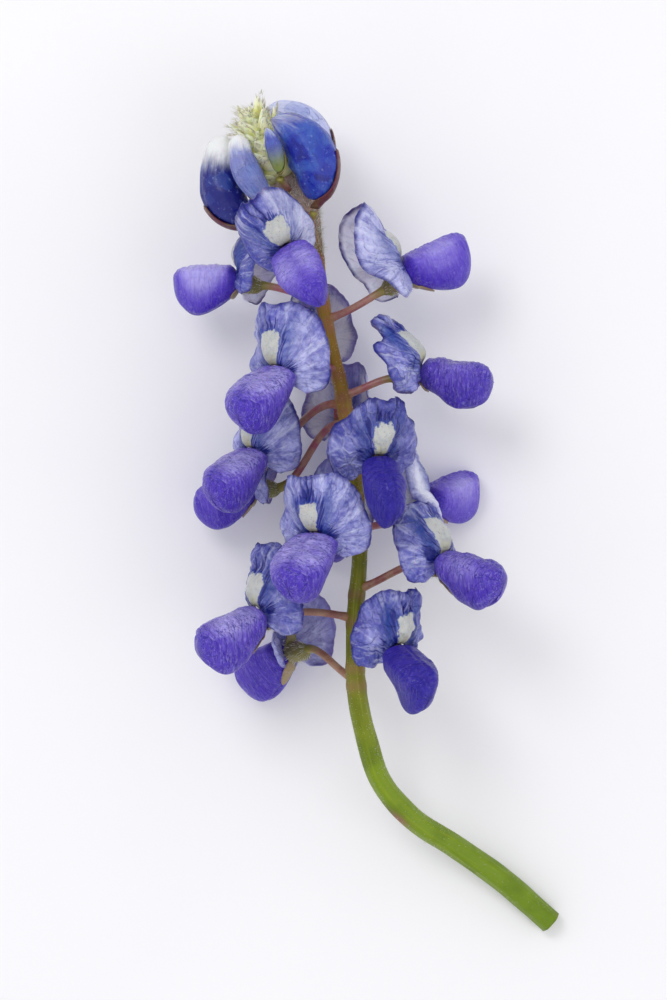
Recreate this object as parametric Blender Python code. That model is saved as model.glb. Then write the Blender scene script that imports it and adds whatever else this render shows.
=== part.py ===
# Lupin flower spike, cut and lying on a flat surface: one curved stem that carries seventeen
# pea-shaped blooms, five buds and a tuft of young bracts. Units are metres and +Z is up.
# The spike lies along Y with its tip at +Y, and the surface is the plane z = 0.

import math
import random

import bmesh
import bpy
from mathutils import Matrix, Vector

MM = 0.001

# Where the foot of the flowering part stands, in millimetres. Every table below is measured
# from this point: x to the right, y towards the tip, z away from the surface.
SPIKE_FOOT = (-1.67, -17.9, 11.4)

# The stem's own line and its radius, from the cut end to the young tip.
STEM_LINE = (
    (21.4, -25.4, -10.26, 1.25),
    (16.2, -20.8, -9.2, 1.25),
    (11.0, -17.0, -7.4, 1.22),
    (6.6, -14.0, -5.2, 1.18),
    (3.2, -10.0, -3.0, 1.14),
    (1.6, -5.4, -1.2, 1.1),
    (0.5, 0.0, 0.0, 1.0),
    (0.3, 7.1, 0.0, 0.85),
    (0.8, 14.0, 0.0, 0.8),
    (0.5, 20.0, 0.0, 0.76),
    (-0.8, 29.9, 0.0, 0.74),
    (-2.6, 38.0, 0.0, 0.7),
    (-3.9, 46.0, 0.2, 0.85),
    (-5.2, 50.2, 0.5, 1.7),
    (-6.9, 53.4, 0.9, 1.9),
)
STEM_SIDES = 10
STEM_STEPS = 2

# Petals of a full-sized bloom, in millimetres.
PETAL_THICKNESS = 0.6
PETAL_GAP = 0.35

# The wings: two petals that close into one inflated slipper, seamed along its top.
WINGS_START = PETAL_THICKNESS / 2 + PETAL_GAP
WINGS_LENGTH = 7.0
WINGS_WIDTH = 6.8
WINGS_ABOVE = 1.3
WINGS_BELOW = 4.8
WINGS_DROP = 1.5
WINGS_SEAM = 0.3
WINGS_KEEL = 0.25
WINGS_WIDTH_ARC = (0.32, 0.3)
WINGS_DEPTH_ARC = (0.17, 0.46)
WINGS_RINGS = 7
WINGS_SIDES = 10
PRESSED_IN = 0.35

# The banner: a fan that stands behind the wings and is folded back along its midline.
# It sweeps this far to each side of its top, and its lower corners end beside the throat.
BANNER_SWEEP = math.radians(134)
BANNER_RADIUS = 5.95
BANNER_RISE = 1.4
BANNER_INNER = 1.25
BANNER_INNER_RISE = 0.45
BANNER_COLUMNS = 12
BANNER_SHARES = (0.0, 0.3, 0.66, 1.0)
NOTCH_DEPTH = 0.4
NOTCH_WIDTH = 0.2
WAIST_AT = 0.8
WAIST_WIDTH = 0.3
WAVE_HEIGHT = 0.25
WAVES = 4

# The fold is tight near the midline and leaves each half nearly flat. It grows from the lobes
# beside the throat up to FOLD_FULL_AT, and the top leans back from LEAN_FROM upwards.
FOLD_EASE = 1.8
FOLD_STEPS = 8
FOLD_FULL_AT = 2.5
LOBE_FOLD = 0.62
LEAN_FROM = 1.0
LEAN_EASE = 0.8

# The midline swells forward just above the throat.
BULGE = 0.8
BULGE_HEIGHT = 3.8
BULGE_WIDTH = 2.2

# The calyx: a cup behind the petals, as (forward, height, radius), and a long lower lip, first
# as (forward, height, half width) and then, under the wings, as (share of their length, half width).
CUP_LINE = ((-3.1, -1.1, 0.5), (-2.5, -1.05, 0.95), (-1.7, -0.85, 1.15), (-0.85, -0.7, 1.1))
CUP_BACK = (0, -2.7, -1.07)
LIP_FOOT = ((-1.8, -1.4, 0.7), (-0.5, -2.05, 0.75))
LIP_UNDER = ((0.05, 1.0), (0.15, 1.05), (0.23, 0.55))
LIP_HALF_THICKNESS = 0.3
LIP_CUPPING = 0.45
CALYX_SIDES = 8

# The stalks from the stem to each calyx. They leave the stem rising by this share of their reach.
PEDICEL_RADIUS = 0.4
PEDICEL_RISE = 0.25
PEDICEL_SIDES = 5
PEDICEL_STEPS = 5

# One row for each bloom, numbered from the tip down. "root" is the height on the stem where
# its stalk leaves, "throat" is where its petals meet, and "faces" is where its wings point.
# "fold" is how far each half of the banner bends back and "lean" how far its top does, in
# degrees. "taller" lengthens its top, in millimetres, and "waist" draws it in between its top
# and its side lobes, as a share of its radius. "plump" widens its wings, and "droop" lowers their
# tip, in millimetres. "rests" marks the blooms whose wings touch the surface.
BLOOMS = (
    dict(root=45.5, throat=(-6.7, 45.9, 6.6), faces=(0.36, -0.66, 0.66), up=(-0.62, 1, 0),
         size=0.94, fold=46, lean=2, plump=0.82, narrow=0.74, taller=1.8),
    dict(root=40.6, throat=(-12.1, 43.5, -2.4), faces=(-0.97, 0.0, -0.2), up=(0, 1, -0.2),
         size=0.9, fold=70, lean=4, narrow=0.9, droop=0.2),
    dict(root=38.9, throat=(5.4, 44.2, 0.2), faces=(0.84, 0.44, -0.24),
         size=0.98, fold=74, lean=4, taller=1.4, droop=0.0),
    dict(root=33.4, throat=(-7.7, 33.0, 5.3), faces=(-0.58, -0.42, 0.7),
         size=1.0, fold=46, lean=20, taller=0.4),
    dict(root=29.6, throat=(-10.4, 24.6, 0.0), faces=(-0.64, -0.42, 0.64),
         size=0.95, fold=50, lean=36),
    dict(root=27.2, throat=(-10.5, 21.6, -5.8), faces=(-0.95, -0.2, -0.1),
         size=0.88, fold=64, lean=16, narrow=0.74),
    dict(root=30.8, throat=(7.4, 33.6, 1.0), faces=(0.98, -0.06, 0.06),
         size=0.98, fold=76, lean=48, taller=0.6, waist=0.24, droop=0.9),
    dict(root=23.0, throat=(2.6, 23.8, 6.6), faces=(0.26, -0.55, 0.79),
         size=1.0, fold=42, lean=10, plump=0.66, narrow=0.9, waist=0.1),
    dict(root=16.8, throat=(8.0, 20.0, -5.0), faces=(0.64, 0.32, -0.56),
         size=0.94, fold=74, lean=6, plump=0.9, narrow=0.92, taller=0.8, droop=0.0,
         rests=True),
    dict(root=15.6, throat=(-3.7, 15.8, 5.9), faces=(-0.42, -0.5, 0.76),
         size=1.0, fold=44, lean=12),
    dict(root=10.3, throat=(9.6, 13.6, 4.0), faces=(0.82, -0.2, 0.54),
         size=0.98, fold=52, lean=40, narrow=0.95, droop=0.8),
    dict(root=7.4, throat=(-9.9, 7.9, 2.0), faces=(-0.82, -0.32, 0.46),
         size=1.0, fold=56, lean=26, taller=0.6, waist=0.2),
    dict(root=0.8, throat=(-6.9, 4.1, -4.2), faces=(-0.66, -0.34, -0.62),
         size=0.94, fold=62, lean=14, rests=True),
    dict(root=2.6, throat=(4.7, 4.2, 5.0), faces=(0.5, -0.48, 0.72),
         size=0.94, fold=58, lean=14, plump=0.85, narrow=0.92),
    dict(root=31.0, throat=(-0.4, 28.3, -4.4), faces=(0.36, -0.22, -0.9),
         size=0.88, fold=60, lean=10, rests=True),
    dict(root=20.4, throat=(-1.6, 18.0, -4.8), faces=(-0.1, -0.2, -0.95),
         size=0.88, fold=60, lean=10, narrow=0.86, rests=True),
    dict(root=38.2, throat=(-4.4, 36.9, -4.4), faces=(-0.3, 0.0, -0.95),
         size=0.88, fold=60, lean=4, rests=True),
)

# The buds round the tip: where each starts, the point it bows towards, its tip and its radius.
BUDS = (
    dict(start=(-10.6, 49.2, 2.0), bow=(-15.4, 51.2, 2.0), tip=(-13.2, 58.0, 1.8), radius=2.4),
    dict(start=(-8.8, 51.2, 4.4), bow=(-11.8, 54.0, 5.0), tip=(-11.8, 58.0, 4.0), radius=1.6),
    dict(start=(-3.8, 51.2, 3.8), bow=(-2.8, 57.4, 4.6), tip=(-8.4, 59.4, 5.8), radius=2.7),
    dict(start=(-3.8, 53.4, -3.0), bow=(-3.2, 60.6, -3.2), tip=(-9.0, 61.2, -2.2), radius=2.4),
    dict(start=(-7.6, 54.0, 5.6), bow=(-7.9, 56.4, 6.8), tip=(-8.9, 58.4, 7.2), radius=0.9),
)
BUD_RINGS = 6
BUD_SIDES = 8
BUD_FLATNESS = 0.85
BUD_FOOT = 0.3
BUD_TAPER = 0.12

# The tuft: a slim core on the stem's tip, covered by pointed bracts in a spiral. The core is
# given as (share of its length, share of its radius), and so is each bract.
TUFT_LENGTH = 6.4
TUFT_RADIUS = 2.8
TUFT_CORE = ((0.0, 0.85), (0.3, 1.0), (0.65, 0.75), (1.0, 0.3))
TUFT_SIDES = 8
TUFT_BRACTS = 38
BRACT_LENGTH = 3.2
BRACT_WIDTH = 1.7
BRACT_LINE = ((0.0, 0.7), (0.4, 1.0), (0.75, 0.75), (1.0, 0.2))
BRACT_SIDES = 4
BRACT_FLATNESS = 0.75
BRACT_TILT = 34
BRACT_TILT_LESS = 22
BRACT_TILT_VARIES = 6
GOLDEN_ANGLE = math.radians(137.5)

# Points closer than this are welded, in millimetres.
WELD = 0.002

# Red, green, blue and roughness of each material.
COLOURS = {
    "stem": (0.16, 0.25, 0.02, 0.55),
    "banner": (0.22, 0.2, 0.6, 0.45),
    "wings": (0.09, 0.05, 0.42, 0.35),
    "bud": (0.02, 0.04, 0.45, 0.35),
    "tuft": (0.62, 0.66, 0.22, 0.7),
}


def clear_scene():
    for thing in list(bpy.data.objects):
        bpy.data.objects.remove(thing, do_unlink=True)


def make_material(name):
    red, green, blue, roughness = COLOURS[name]
    material = bpy.data.materials.new(name)
    material.use_nodes = True
    shader = material.node_tree.nodes["Principled BSDF"]
    shader.inputs["Base Color"].default_value = (red, green, blue, 1.0)
    shader.inputs["Roughness"].default_value = roughness
    shader.inputs["Metallic"].default_value = 0.0
    return material


def make_object(name, solid, material, parent=None):
    """Turn points in millimetres and their faces into an object on the scene."""
    points, faces = solid
    mesh = bpy.data.meshes.new(name)
    mesh.from_pydata([Vector(point) * MM for point in points], [], faces)
    mesh.validate()
    mesh.shade_smooth()
    mesh.materials.append(material)
    made = bpy.data.objects.new(name, mesh)
    bpy.context.scene.collection.objects.link(made)
    made.parent = parent
    return made


def make_empty(name, matrix):
    empty = bpy.data.objects.new(name, None)
    bpy.context.scene.collection.objects.link(empty)
    empty.matrix_world = matrix
    return empty


def smooth_line(rows, steps):
    """Catmull-Rom points through rows of any width, with steps - 1 new ones between each two."""
    width = len(rows[0])
    line = []
    for index in range(len(rows) - 1):
        before = rows[max(index - 1, 0)]
        start = rows[index]
        end = rows[index + 1]
        after = rows[min(index + 2, len(rows) - 1)]
        for step in range(steps):
            share = step / steps
            point = []
            for axis in range(width):
                slope_in = (end[axis] - before[axis]) / 2
                slope_out = (after[axis] - start[axis]) / 2
                rise = end[axis] - start[axis]
                square = share * share
                cube = square * share
                point.append(
                    start[axis]
                    + slope_in * (cube - 2 * square + share)
                    + slope_out * (cube - square)
                    + rise * (3 * square - 2 * cube)
                )
            line.append(tuple(point))
    line.append(tuple(rows[-1]))
    return line


def bezier(start, first, second, end, steps):
    """Points on a cubic curve, both ends included."""
    points = []
    for step in range(steps + 1):
        share = step / steps
        rest = 1 - share
        points.append(
            start * rest ** 3
            + first * (3 * rest * rest * share)
            + second * (3 * rest * share * share)
            + end * share ** 3
        )
    return points


def ring_faces(rings, sides):
    """Side faces and both end caps of a closed stack of rings."""
    faces = []
    for ring in range(rings - 1):
        low = ring * sides
        high = low + sides
        for side in range(sides):
            after = (side + 1) % sides
            faces.append((low + side, low + after, high + after, high + side))
    faces.append(tuple(reversed(range(sides))))
    faces.append(tuple(range((rings - 1) * sides, rings * sides)))
    return faces


def tube(path, radii, sides, flat=1.0, side_hint=Vector((0, 0, 1))):
    """A closed tube along a path. "flat" squeezes it along the hinted side."""
    points = []
    count = len(path)
    for index in range(count):
        ahead = path[min(index + 1, count - 1)] - path[max(index - 1, 0)]
        along = ahead.normalized()
        across = along.cross(side_hint).normalized()
        other = across.cross(along).normalized()
        for side in range(sides):
            turn = math.tau * (side + 0.5) / sides
            spread = across * math.cos(turn) - other * math.sin(turn) * flat
            points.append(path[index] + spread * radii[index])
    return points, ring_faces(count, sides)


def stem_path():
    rows = smooth_line(STEM_LINE, STEM_STEPS)
    path = [Vector(row[:3]) for row in rows]
    radii = [row[3] for row in rows]
    return path, radii


def stem_point(path, height):
    """The stem's centre at a height along the flowering part."""
    for low, high in zip(path, path[1:]):
        if low.y <= height <= high.y:
            return low.lerp(high, (height - low.y) / (high.y - low.y))
    return path[-1]


def bloom_matrix(row):
    """The bloom's own frame: X across, Y the way it faces, Z up its banner, in millimetres."""
    forward = Vector(row["faces"]).normalized()
    hint = Vector(row.get("up", (0, 1, 0)))
    up = (hint - forward * hint.dot(forward)).normalized()
    across = forward.cross(up)
    turned = Matrix((across, forward, up)).transposed().to_4x4()
    turned.translation = Vector(row["throat"])
    return turned


def wings_section(share, droop=WINGS_DROP):
    """The wings' half width, the height of their middle line, and their reach above and below it."""
    start, sweep = WINGS_WIDTH_ARC
    half_width = WINGS_WIDTH / 2 * math.sin(math.pi * (start + sweep * share))
    half_width *= math.sqrt(1 - share ** 4)
    drop = droop * share ** 3
    above = (WINGS_ABOVE + drop) * math.sqrt(1 - share ** 6)
    start, sweep = WINGS_DEPTH_ARC
    deep = WINGS_BELOW * math.sin(math.pi * (start + sweep * share))
    below = (deep - drop) * math.sqrt(1 - share ** 5)
    return half_width, -drop, above, below


def wings_solid(row):
    """Two wing petals joined into one inflated slipper, with a seam along the top."""
    size = row["size"]
    plump = row.get("plump", 1.0)
    droop = row.get("droop", WINGS_DROP)
    points = []
    for ring in range(WINGS_RINGS):
        share = math.sin(math.pi / 2 * ring / WINGS_RINGS)
        forward = WINGS_START + WINGS_LENGTH * share
        half_width, middle, above, below = wings_section(share, droop)
        for side in range(WINGS_SIDES):
            around = math.tau * side / WINGS_SIDES
            height = middle + math.cos(around) * (above if math.cos(around) > 0 else below)
            seam = WINGS_SEAM if side == 0 else 0.0
            narrowing = 1 - WINGS_KEEL * max(0.0, -math.cos(around))
            across = half_width * plump * math.sin(around) * narrowing
            points.append((across * size, forward * size, (height - seam) * size))
    tip = (0.0, (WINGS_START + WINGS_LENGTH) * size, -droop * size)
    faces = ring_faces(WINGS_RINGS, WINGS_SIDES)[:-1]
    points.append(tip)
    last = (WINGS_RINGS - 1) * WINGS_SIDES
    for side in range(WINGS_SIDES):
        faces.append((last + side, last + (side + 1) % WINGS_SIDES, len(points) - 1))
    return points, faces


def banner_outline(turn, row):
    """The banner's outer radius round the throat; turn 0 is its notched top."""
    notch = NOTCH_DEPTH * math.exp(-((turn / NOTCH_WIDTH) ** 2))
    taller = row.get("taller", 0.0) * max(0.0, math.cos(turn)) ** 2
    waist = row.get("waist", 0.0) * math.exp(-(((abs(turn) - WAIST_AT) / WAIST_WIDTH) ** 2))
    return (BANNER_RADIUS + BANNER_RISE * math.cos(turn) + taller - notch) * (1 - waist)


def folded(across, fold):
    """Where a flat distance from the midline ends once that half of the petal is bent back."""
    length = abs(across) / FOLD_STEPS
    side = 0.0
    back = 0.0
    for step in range(FOLD_STEPS):
        angle = fold * (1 - math.exp(-(step + 0.5) * length / FOLD_EASE))
        side += math.cos(angle) * length
        back += math.sin(angle) * length
    return math.copysign(side, across), -back


def banner_point(turn, share, row):
    """A point halfway through the banner's thickness, in the bloom's frame at full size."""
    outer = banner_outline(turn, row)
    inner = BANNER_INNER + BANNER_INNER_RISE * math.cos(turn / 2) ** 2
    radius = inner + (outer - inner) * share
    across = radius * math.sin(turn) * row.get("narrow", 1.0)
    height = radius * math.cos(turn)
    rise = min(max(height / FOLD_FULL_AT, 0.0), 1.0)
    eased = rise * rise * (3 - 2 * rise)
    fold = math.radians(row["fold"]) * (LOBE_FOLD + (1 - LOBE_FOLD) * eased)
    side, forward = folded(across, fold)
    lean = math.radians(row["lean"])
    above = max(0.0, height - LEAN_FROM)
    leaning = above * above / (above + LEAN_EASE)
    forward -= math.sin(lean) * leaning
    height -= (1 - math.cos(lean)) * leaning
    swell = (height - LEAN_FROM) / BULGE_HEIGHT
    if 0 < swell < 1:
        forward += BULGE * math.sin(math.pi * swell) * math.exp(-((across / BULGE_WIDTH) ** 2))
    forward += WAVE_HEIGHT * math.sin(WAVES * turn) * share * share
    return Vector((side, forward, height))


def banner_solid(row):
    """The banner petal, with its two faces split into triangles alike."""
    step = 0.01  # how far apart the points are that give the slope
    columns = BANNER_COLUMNS
    rows = len(BANNER_SHARES)
    front = []
    back = []
    for column in range(columns + 1):
        turn = -BANNER_SWEEP + 2 * BANNER_SWEEP * column / columns
        for share in BANNER_SHARES:
            middle = banner_point(turn, share, row)
            along = banner_point(turn + step, share, row) - banner_point(turn - step, share, row)
            outward = banner_point(turn, share + step, row) - banner_point(turn, share - step, row)
            normal = outward.cross(along).normalized()
            if normal.y < 0:
                normal = -normal
            front.append((middle + normal * PETAL_THICKNESS / 2) * row["size"])
            back.append((middle - normal * PETAL_THICKNESS / 2) * row["size"])
    points = front + back
    faces = []
    offset = len(front)
    for column in range(columns):
        for strip in range(rows - 1):
            a = column * rows + strip
            b = a + 1
            c = a + rows + 1
            d = a + rows
            faces.extend(((a, b, c), (a, c, d)))
            faces.append((offset + a, offset + c, offset + b))
            faces.append((offset + a, offset + d, offset + c))
    rim = [column * rows for column in range(columns + 1)]
    rim += [columns * rows + strip for strip in range(1, rows)]
    rim += [column * rows + rows - 1 for column in range(columns - 1, -1, -1)]
    rim += [strip for strip in range(rows - 2, 0, -1)]
    for here, there in zip(rim, rim[1:] + rim[:1]):
        faces.extend(((here, there, offset + there), (here, offset + there, offset + here)))
    return points, faces


def calyx_solids(size):
    """The calyx cup behind the petals and its long lower lip under the wings."""
    path = [Vector((0, forward, height)) * size for forward, height, radius in CUP_LINE]
    radii = [radius * size for forward, height, radius in CUP_LINE]
    cup = tube(path, radii, CALYX_SIDES)
    lip_line = list(LIP_FOOT)
    for share, half_width in LIP_UNDER:
        middle, above, below = wings_section(share)[1:]
        height = middle - below - 2 * PETAL_GAP
        lip_line.append((WINGS_START + WINGS_LENGTH * share, height, half_width))
    points = []
    for forward, height, half_width in lip_line:
        for depth, sides in ((LIP_HALF_THICKNESS, (1, 0, -1)), (-LIP_HALF_THICKNESS, (-1, 0, 1))):
            for side in sides:
                rise = LIP_CUPPING * half_width * abs(side)
                points.append(Vector((side * half_width, forward, height + rise + depth)) * size)
    lip = (points, ring_faces(len(lip_line), 6))
    return cup, lip


def moved(solid, matrix):
    points, faces = solid
    return [matrix @ Vector(point) for point in points], faces


def pedicel_solid(start, matrix, size):
    """The stalk from the stem's centre to the back of the calyx."""
    end = matrix @ (Vector(CUP_BACK) * size)
    forward = matrix.to_3x3() @ Vector((0, 1, 0))
    reach = (end - start).length
    outward = end - start
    outward.y = PEDICEL_RISE * reach
    first = start + outward.normalized() * reach * 0.4
    second = end - forward * reach * 0.3
    path = bezier(start, first, second, end, PEDICEL_STEPS)
    radii = [PEDICEL_RADIUS] * len(path)
    return tube(path, radii, PEDICEL_SIDES)


def outward_faces(made):
    """Split the faces into triangles and turn them all outwards."""
    work = bmesh.new()
    work.from_mesh(made.data)
    bmesh.ops.remove_doubles(work, verts=work.verts, dist=WELD * MM)
    bmesh.ops.triangulate(work, faces=work.faces)
    bmesh.ops.recalc_face_normals(work, faces=work.faces)
    work.to_mesh(made.data)
    work.free()


def press_flat(made):
    """Cut away what would reach below the surface, which leaves a small flat spot."""
    work = bmesh.new()
    work.from_mesh(made.data)
    inverse = made.matrix_world.inverted()
    everything = work.verts[:] + work.edges[:] + work.faces[:]
    cut = bmesh.ops.bisect_plane(
        work,
        geom=everything,
        dist=1e-7,
        plane_co=inverse @ Vector((0, 0, 0)),
        plane_no=inverse.to_3x3() @ Vector((0, 0, -1)),
        clear_outer=True,
    )
    edges = [piece for piece in cut["geom_cut"] if isinstance(piece, bmesh.types.BMEdge)]
    bmesh.ops.contextual_create(work, geom=edges)
    work.to_mesh(made.data)
    work.free()


def join_solids(name, solids, material, parent):
    """One body from many overlapping solids, by one Boolean union on their collection."""
    base = make_object(name, solids[0], material, parent)
    outward_faces(base)
    group = bpy.data.collections.new(name + "_pieces")
    bpy.context.scene.collection.children.link(group)
    for solid in solids[1:]:
        piece = make_object(name + "_piece", solid, material, parent)
        outward_faces(piece)
        bpy.context.scene.collection.objects.unlink(piece)
        group.objects.link(piece)
    union = base.modifiers.new("join", "BOOLEAN")
    union.operation = "UNION"
    union.operand_type = "COLLECTION"
    union.collection = group
    union.solver = "EXACT"
    bpy.context.view_layer.update()
    evaluated = base.evaluated_get(bpy.context.evaluated_depsgraph_get())
    joined = bpy.data.meshes.new_from_object(evaluated)
    base.modifiers.clear()
    base.data = joined
    for piece in list(group.objects):
        bpy.data.objects.remove(piece, do_unlink=True)
    bpy.data.collections.remove(group)
    return base


def build_bloom(number, row, spike, materials):
    """A bloom's banner and wings, on an empty at its throat."""
    matrix = bloom_matrix(row)
    holder = make_empty("bloom_%02d" % number, Matrix.Identity(4))
    holder.parent = spike
    holder.matrix_basis = Matrix.Translation(matrix.translation * MM) @ matrix.to_3x3().to_4x4()
    name = "bloom_%02d_" % number
    banner = make_object(name + "banner", banner_solid(row), materials["banner"], holder)
    outward_faces(banner)
    wings = make_object(name + "wings", wings_solid(row), materials["wings"], holder)
    outward_faces(wings)
    bpy.context.view_layer.update()
    if row.get("rests"):
        press_flat(wings)
        outward_faces(wings)
    return matrix


def settle(row):
    """Raise or lower a resting bloom until its wings press into the surface by PRESSED_IN."""
    matrix = bloom_matrix(row)
    points = moved(wings_solid(row), matrix)[0]
    lowest = min(point.z for point in points) + SPIKE_FOOT[2]
    x, y, z = row["throat"]
    return dict(row, throat=(x, y, z - lowest - PRESSED_IN))


def bud_solid(row):
    start = Vector(row["start"])
    bow = Vector(row["bow"])
    tip = Vector(row["tip"])
    path = bezier(start, start.lerp(bow, 0.67), tip.lerp(bow, 0.67), tip, BUD_RINGS)
    radii = []
    for ring in range(BUD_RINGS + 1):
        share = ring / BUD_RINGS
        swelling = math.sin(math.pi * share ** 0.9) ** 0.7
        radii.append(row["radius"] * (BUD_FOOT + (1 - BUD_FOOT) * swelling - BUD_TAPER * share))
    return tube(path, radii, BUD_SIDES, flat=BUD_FLATNESS)


def bud_calyx_solids(row, path):
    """The cup that a bud sits in, with its stalk from the stem."""
    start = Vector(row["start"])
    forward = (Vector(row["bow"]) - start).normalized()
    radius = row["radius"]
    back = start - forward * (PETAL_GAP + 0.1)
    cup_path = [back - forward * radius * 0.8, back - forward * radius * 0.4, back]
    cup = tube(cup_path, [radius * 0.25, radius * 0.5, radius * 0.6], CALYX_SIDES)
    root = stem_point(path, min(start.y - 1.0, path[-1].y - 1.5))
    end = back - forward * radius * 0.5
    middle = root.lerp(end, 0.5)
    stalk_path = bezier(root, root.lerp(middle, 0.7), end - forward * radius * 0.6, end, 4)
    stalk = tube(stalk_path, [PEDICEL_RADIUS] * 5, PEDICEL_SIDES)
    return [cup, stalk]


def tuft_solids(path):
    """The core on the stem's tip and the bracts round it."""
    draw = random.Random(7)
    along = (path[-1] - path[-2]).normalized()
    side = along.cross(Vector((0, 0, 1))).normalized()
    other = side.cross(along)
    foot = path[-1] + along * PETAL_GAP
    line = [foot + along * TUFT_LENGTH * share for share, swelling in TUFT_CORE]
    solids = [tube(line, [TUFT_RADIUS * swelling for share, swelling in TUFT_CORE], TUFT_SIDES)]
    for index in range(TUFT_BRACTS):
        share = (index + 0.5) / TUFT_BRACTS
        turn = GOLDEN_ANGLE * index
        spoke = side * math.cos(turn) + other * math.sin(turn)
        level = foot + along * TUFT_LENGTH * (0.12 + 0.83 * share)
        radius = TUFT_RADIUS * (1.0 - 0.75 * share)
        varied = draw.uniform(-BRACT_TILT_VARIES, BRACT_TILT_VARIES)
        tilt = math.radians(BRACT_TILT - BRACT_TILT_LESS * share + varied)
        way = along * math.cos(tilt) + spoke * math.sin(tilt)
        root = level + spoke * radius * 0.35
        length = BRACT_LENGTH * draw.uniform(0.8, 1.1)
        stations = [root + way * length * part for part, width in BRACT_LINE]
        widths = [BRACT_WIDTH / 2 * width for part, width in BRACT_LINE]
        solids.append(tube(stations, widths, BRACT_SIDES, flat=BRACT_FLATNESS, side_hint=spoke))
    return solids


def main():
    clear_scene()
    materials = {name: make_material(name) for name in COLOURS}
    spike = make_empty("spike", Matrix.Translation(Vector(SPIKE_FOOT) * MM))
    bpy.context.view_layer.update()
    path, radii = stem_path()
    stem_solids = [tube(path, radii, STEM_SIDES)]
    for number, row in enumerate(BLOOMS, start=1):
        placed = settle(row) if row.get("rests") else row
        matrix = build_bloom(number, placed, spike, materials)
        stem_solids.append(pedicel_solid(stem_point(path, row["root"]), matrix, row["size"]))
        for solid in calyx_solids(row["size"]):
            stem_solids.append(moved(solid, matrix))
    for number, row in enumerate(BUDS, start=1):
        bud = make_object("bud_%d" % number, bud_solid(row), materials["bud"], spike)
        outward_faces(bud)
        stem_solids.extend(bud_calyx_solids(row, path))
    stem = join_solids("stem", stem_solids, materials["stem"], spike)
    press_flat(stem)
    outward_faces(stem)
    tuft = join_solids("tuft", tuft_solids(path), materials["tuft"], spike)
    outward_faces(tuft)


main()
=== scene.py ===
import random
from math import cos, pi, radians, sin, sqrt, tau
from types import SimpleNamespace

import bpy
import numpy as np
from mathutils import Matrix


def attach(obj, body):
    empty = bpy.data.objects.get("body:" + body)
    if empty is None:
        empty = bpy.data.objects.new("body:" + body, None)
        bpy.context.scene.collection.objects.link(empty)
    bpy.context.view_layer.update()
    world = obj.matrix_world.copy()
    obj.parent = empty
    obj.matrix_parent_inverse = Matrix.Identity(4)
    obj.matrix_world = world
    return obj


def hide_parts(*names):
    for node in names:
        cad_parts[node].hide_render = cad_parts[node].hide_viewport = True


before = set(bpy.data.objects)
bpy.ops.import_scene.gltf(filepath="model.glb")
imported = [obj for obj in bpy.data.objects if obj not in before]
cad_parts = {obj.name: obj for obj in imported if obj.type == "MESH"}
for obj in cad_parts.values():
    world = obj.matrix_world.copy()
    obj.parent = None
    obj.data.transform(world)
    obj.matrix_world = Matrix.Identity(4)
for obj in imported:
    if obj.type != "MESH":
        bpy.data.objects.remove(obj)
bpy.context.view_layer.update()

# A lupin flower spike lying on a pale floor. Petals, stalks and hairs are made in millimetres,
# measured from the foot of the flowering part, and then moved to the frame.
spikeFoot = np.array((-1.67, -17.9, 11.4))
millimetre = 0.001


def unit(vectors):
    vectors = np.asarray(vectors, float)
    return vectors / np.linalg.norm(vectors, axis=-1, keepdims=True)


def ease(low, high, value):
    share = np.clip((value - low) / (high - low), 0, 1)
    return share * share * (3 - 2 * share)


def hump(value, middle, width):
    return np.exp(-(((value - middle) / width) ** 2))


def ripple(across, along, seed, size, count=7):
    # a smooth uneven surface, roughly -1 to 1, with bumps of about that size
    draw = random.Random(seed)
    total = 0
    for index in range(count):
        way = draw.uniform(0, tau)
        pitch = tau / (size * draw.uniform(0.75, 1.5))
        phase = draw.uniform(0, tau)
        total = total + np.sin((across * cos(way) + along * sin(way)) * pitch + phase)
    return total / sqrt(count)


def smoothLine(rows, steps):
    rows = np.asarray(rows, float)
    padded = np.concatenate((rows[:1], rows, rows[-1:]))
    line = []
    for before, start, end, after in zip(padded, rows, rows[1:], padded[3:]):
        slopeIn, slopeOut = (end - before) / 2, (after - start) / 2
        for t in np.arange(steps) / steps:
            line.append(start + slopeIn * (t ** 3 - 2 * t * t + t) + slopeOut * (t ** 3 - t * t)
                + (end - start) * (3 * t * t - 2 * t ** 3))
    return np.array(line + [rows[-1]])


def bezierLine(start, first, second, end, steps):
    t = np.linspace(0, 1, steps + 1)[:, None]
    s = 1 - t
    return start * s ** 3 + first * 3 * s * s * t + second * 3 * s * t * t + end * t ** 3


def petalGrid(columns, rows, sweep=1):
    # how far across and along the petal each of its points is
    across = np.linspace(-sweep, sweep, columns)[:, None] + np.zeros(rows)
    return across, np.linspace(0, 1, rows) + np.zeros((columns, 1))


def gridNormals(points, forward=(0, 0, 0)):
    normals = np.cross(np.gradient(points, axis=0), np.gradient(points, axis=1))
    normals = normals / np.maximum(np.linalg.norm(normals, axis=2, keepdims=True), 1e-9)
    return -normals if (normals @ forward).mean() < 0 else normals  # on the whole they face forward


def addObject(name, data):
    thing = bpy.data.objects.new(name, data)
    bpy.context.scene.collection.objects.link(thing)
    return thing


def addPiece(name, slot, node, material, points, faces, marks=None):
    # points in millimetres; a mark with fewer values than points repeats, so one number will do
    mesh = bpy.data.meshes.new(name)
    placed = (np.reshape(points, (-1, 3)) + spikeFoot) * millimetre
    placed[:, 2] = np.maximum(placed[:, 2], 0)  # nothing sinks into the surface it lies on
    mesh.from_pydata(placed.tolist(), [], faces)
    for label, values in (marks or {}).items():
        layer = mesh.attributes.new(label, "FLOAT", "POINT")
        layer.data.foreach_set("value", np.resize(np.asarray(values, np.float32), len(placed)))
    mesh.shade_smooth()
    mesh.materials.append(material)
    piece = addObject(name, mesh)
    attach(piece, "root")
    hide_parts(node)


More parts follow.
